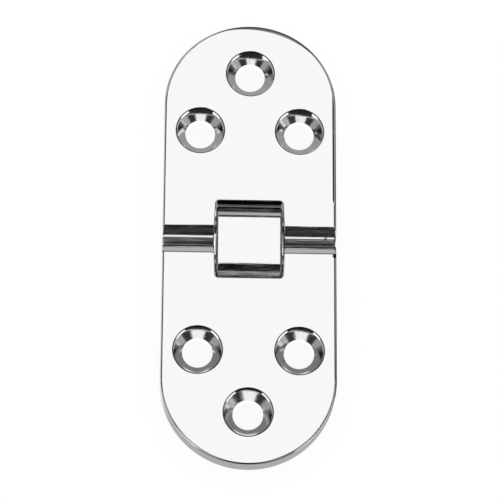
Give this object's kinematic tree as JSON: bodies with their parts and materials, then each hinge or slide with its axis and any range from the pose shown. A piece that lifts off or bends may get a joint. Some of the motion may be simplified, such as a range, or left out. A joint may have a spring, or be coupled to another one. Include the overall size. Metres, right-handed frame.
{
  "type": "back flap hinge",
  "caption": "Polished flap hinge with round-ended leaves and a link on two pins; folds right over and lies flush with a counter and its flap when open.",
  "frame": {"origin": "midway between the two pins, on the plane that the knuckles rest on", "axes": "+Z out of the polished faces; +Y from the joint towards the tip of the fixed leaf; the pins lie along X"},
  "size_m": [0.03, 0.0796, 0.0066],
  "materials": {
    "leaf": "zinc alloy casting, faced and polished bright, chrome plated; knuckles finely streaked",
    "link": "zinc alloy casting, polished bright, chrome plated; round ends finely streaked",
    "pin": "drawn steel wire, cut and chamfered, unplated"
  },
  "bodies": {
    "fixed_half": {"fixed_leaf": "leaf", "fixed_pin": "pin"},
    "link_body": {"link": "link"},
    "flap_half": {"flap_leaf": "leaf", "flap_pin": "pin"}
  },
  "joints": [
    {"name": "link_swing", "type": "hinge", "parent": "fixed_half", "child": "link_body", "pos_m": [0, 0.0035, 0.0034], "axis": [-1, 0, 0], "range_deg": [0, 90]},
    {"name": "flap_swing", "type": "hinge", "parent": "link_body", "child": "flap_half", "pos_m": [0, -0.0035, 0.0034], "axis": [-1, 0, 0], "range_deg": [0, 90]}
  ]
}
